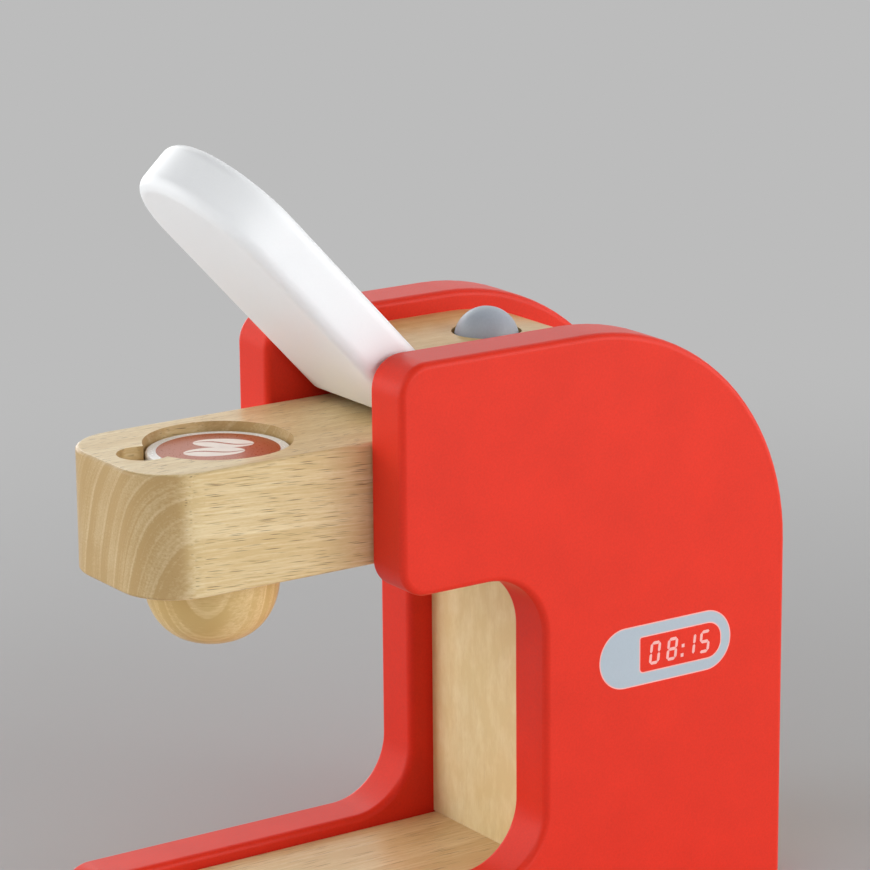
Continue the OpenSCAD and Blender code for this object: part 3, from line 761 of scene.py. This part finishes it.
def digit(shape, left, low):
    """The bars of a seven-bar digit: each bar is a six-sided strip, all leaning by the slant.

    shape names the bars from a, the top one, clockwise to f, and g across the
    middle. Bars end a gap before the point where their middle lines meet.
    """
    wide, high, bar, gap = 4.0, 7.3, 0.98, 0.06
    half, across, rise = bar / 2, wide - bar, (high - bar) / 2
    ends = {
        "a": ((0, 2 * rise), (across, 2 * rise)), "b": ((across, rise), (across, 2 * rise)),
        "c": ((across, 0), (across, rise)), "d": ((0, 0), (across, 0)), "e": ((0, 0), (0, rise)),
        "f": ((0, rise), (0, 2 * rise)), "g": ((0, rise), (across, rise)),
    }
    strips = []
    for bar_name in shape:
        start, end = (np.array(v, float) for v in ends[bar_name])
        way = (end - start) / np.linalg.norm(end - start)
        start, end = start + gap * way, end - gap * way
        on, side = half * way, half * np.array([way[1], -way[0]])
        strip = np.array([start, start + on + side, end - on + side, end, end - on - side, start + on - side])
        strip[:, 0] += left + half + SLANT * (strip[:, 1] + half)
        strip[:, 1] += low + half
        strips.append(strip)
    return strips


def four_corners(low, high, radii):
    """A box's corners [u, v, radius], from its low left corner round."""
    return [[low[0], low[1], radii[0]], [high[0], low[1], radii[1]],
            [high[0], high[1], radii[2]], [low[0], high[1], radii[3]]]


def clock_print():
    """The print on the near panel: a pill with a lined window, and a plain time in it.

    Its places are Y and the height from the panel's top.
    """
    pill = four_corners((36.34, -112.76), (86.76, -93.44), (9.64, 9.64, 9.64, 9.64))
    window = four_corners((51.4, -109.1), (83.2, -97.2), (1.6, 5.4, 5.4, 1.0))
    line, digit_low = 0.4, -106.95
    dot, dot_y, upright_at = 1.1, 67.3, -107
    pink, grey, red = 0, 1, 2
    layers = [(pill, 0, 1, pink), (pill, line, 2, grey), (window, 0, 3, pink), (window, line, 4, red)]
    shapes = [(rounded_outline(corners, inset)[0], level, ink) for corners, inset, level, ink in layers]
    for figure, left in [("abcdef", 55.0), ("abcdefg", 61.6), ("bc", 68.6), ("afgcd", 74.2)]:
        shapes += [(bar, CLOCK_LAYERS, pink) for bar in digit(figure, left, digit_low)]
    for dot_low in (-106.6, -103.6):
        lean = SLANT * (dot_low - upright_at)
        square = np.array([[0, 0], [dot, 0], [dot, dot], [0, dot]]) + [dot_y + lean, dot_low]
        shapes.append((square, CLOCK_LAYERS, pink))
    shapes = [(shape + [0, TOP], level * CLOCK_INK, ink) for shape, level, ink in shapes]
    piece = flat_print("clock_print", shapes, upright(FACE_X), [PINK_INK, GREY_INK, RED])
    dress(piece, "body", None)


def cut_wood():
    """The arm and the base board: their CAD solids, with smooth roundings."""
    for node, material in [("brew_arm", ARM_WOOD), ("base_board", BASE_WOOD)]:
        dress(smooth_copy(node + "_wood", node, material), "body", node)


def finish_solids():
    """Materials of the CAD solids that stay."""
    for material, nodes in [
        (FRONT_WOOD, ["column_front"]),
        (BLOCK_WOOD, ["lid_stop_bar", "button_block"]),
        (DOWEL_WOOD, ["base_dowels", "arm_dowels", "block_dowels", "stop_bar_dowels", "spout_dowel",
                      "lid_hinge_pin", "button_stem"]),
        (STEEL, ["stem_cross_pin"]),
    ]:
        for node in nodes:
            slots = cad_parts[node].data.materials
            slots.clear()
            slots.append(material)


side_panel("near_panel", "right_side_panel", 1)
side_panel("far_panel", "left_side_panel", -1)
lid()
spout()
button()
spring()
pod()
pod_print()
clock_print()
bent_cover()
cut_wood()
finish_solids()


# Camera and studio

def direction(azimuth, elevation):
    """The way from the toy that lies azimuth degrees round from its front towards +X, and elevation up."""
    a, e = math.radians(azimuth), math.radians(elevation)
    return Vector((math.sin(a) * math.cos(e), -math.cos(a) * math.cos(e), math.sin(e)))


def camera():
    """A camera at the photograph's angle, found from the straight edges of the panels."""
    azimuth, elevation, roll = 56.07, 14.92, math.radians(-0.49)
    aim, distance = Vector((0, 7.57 * MM, (TOP - 36.4) * MM)), 1.1678
    back = direction(azimuth, elevation)
    right = direction(azimuth + 90, 0)
    up = back.cross(right)
    level_right = math.cos(roll) * right + math.sin(roll) * up
    level_up = math.cos(roll) * up - math.sin(roll) * right
    data = bpy.data.cameras.new("camera")
    data.sensor_width = 36
    data.lens = 158.9
    data.clip_start, data.clip_end = 0.05, 20
    eye = bpy.data.objects.new("camera", data)
    bpy.context.scene.collection.objects.link(eye)
    turn = Matrix((level_right, level_up, back)).transposed().to_4x4()
    eye.matrix_world = Matrix.Translation(aim + distance * back) @ turn
    bpy.context.scene.camera = eye


def soft_light(name, azimuth, elevation, size, power):
    """A square soft light that faces the toy's upper half. Its size is in metres and its power in watts."""
    distance, aim = 1.6, Vector((0, 0, (TOP - 52) * MM))
    data = bpy.data.lights.new(name, "AREA")
    data.shape = "SQUARE"
    data.size = size
    data.energy = power
    lamp = bpy.data.objects.new(name, data)
    toward = direction(azimuth, elevation)
    lamp.location = aim + distance * toward
    lamp.rotation_euler = toward.to_track_quat("Z", "Y").to_euler()
    bpy.context.scene.collection.objects.link(lamp)


def seen_in_gloss(tree, ray):
    """1 for rays that a glossy or clear surface sends on."""
    return maths(tree, "MAXIMUM", ray["Is Glossy Ray"], ray["Is Transmission Ray"])


def surroundings():
    """A world that lights little, shows as plain grey, and is palest in gloss behind the toy."""
    lit, shown = 0.05, 0.503
    gloss_ahead, gloss_behind = 0.35, 0.8
    world = bpy.data.worlds.new("studio")
    bpy.context.scene.world = world
    world.use_nodes = True
    tree = world.node_tree
    ray = add_node(tree, "LightPath").outputs
    backward = add_node(tree, "SeparateXYZ", {0: add_node(tree, "TexCoord").outputs["Generated"]}).outputs[1]
    sheen = ease(tree, backward, -0.5, 0.5, gloss_ahead, gloss_behind)
    sheen = maths(tree, "MULTIPLY", seen_in_gloss(tree, ray), sheen)
    plain = ease(tree, ray["Is Camera Ray"], 0.0, 1.0, lit, shown)
    shell = tree.nodes["Background"]
    shell.inputs["Color"].default_value = (1, 1, 1, 1)
    tree.links.new(maths(tree, "MAXIMUM", sheen, plain), shell.inputs["Strength"])


def floor():
    """A pale floor that takes shadows near the toy and fades, further off, into the world's plain grey.

    To the camera and in gloss it shows a greyer tone than the one that it bounces.
    """
    half, fade_from, fade_to = 5, 0.2, 0.75
    material, tree, shader, where = new_material("studio_floor", 0.7)
    shader.inputs["Specular IOR Level"].default_value = 0.2
    ray = add_node(tree, "LightPath").outputs
    seen = maths(tree, "MAXIMUM", ray["Is Camera Ray"], seen_in_gloss(tree, ray))
    speckle = noise(tree, where["Object"], (3.0, 3.0, 3.0))
    pale = blend_colours(tree, speckle, linear(244, 244, 244), linear(248, 248, 248))
    shown = blend_colours(tree, speckle, linear(180, 180, 180), linear(184, 184, 184))
    tree.links.new(blend_colours(tree, seen, pale, shown), shader.inputs["Base Color"])
    even = add_node(tree, "Emission", {"Color": linear(188, 188, 188), "Strength": 1.0})
    away = ease(tree, length(tree, where["Object"]), fade_from, fade_to)
    share = maths(tree, "MULTIPLY", away, seen)
    mixed = add_node(tree, "MixShader", {0: share, 1: shader.outputs[0], 2: even.outputs[0]})
    tree.links.new(mixed.outputs[0], tree.nodes["Material Output"].inputs["Surface"])
    corners = half * np.array([[-1, -1, 0], [1, -1, 0], [1, 1, 0], [-1, 1, 0]], float)
    add_mesh("floor", corners, [[0, 1, 2, 3]], [material])


camera()
soft_light("front_light", -30, 16, 1.2, 14.2)
soft_light("left_light", -90, 14, 1.2, 11)
soft_light("back_left_light", -135, 40, 1.6, 5.5)
soft_light("right_light", 112, 10, 1.4, 15.8)
soft_light("back_right_light", 148, 10, 1.4, 14)
soft_light("fill_light", 24, 40, 1.4, 7)
surroundings()
floor()
bpy.context.scene.view_settings.view_transform = "Standard"
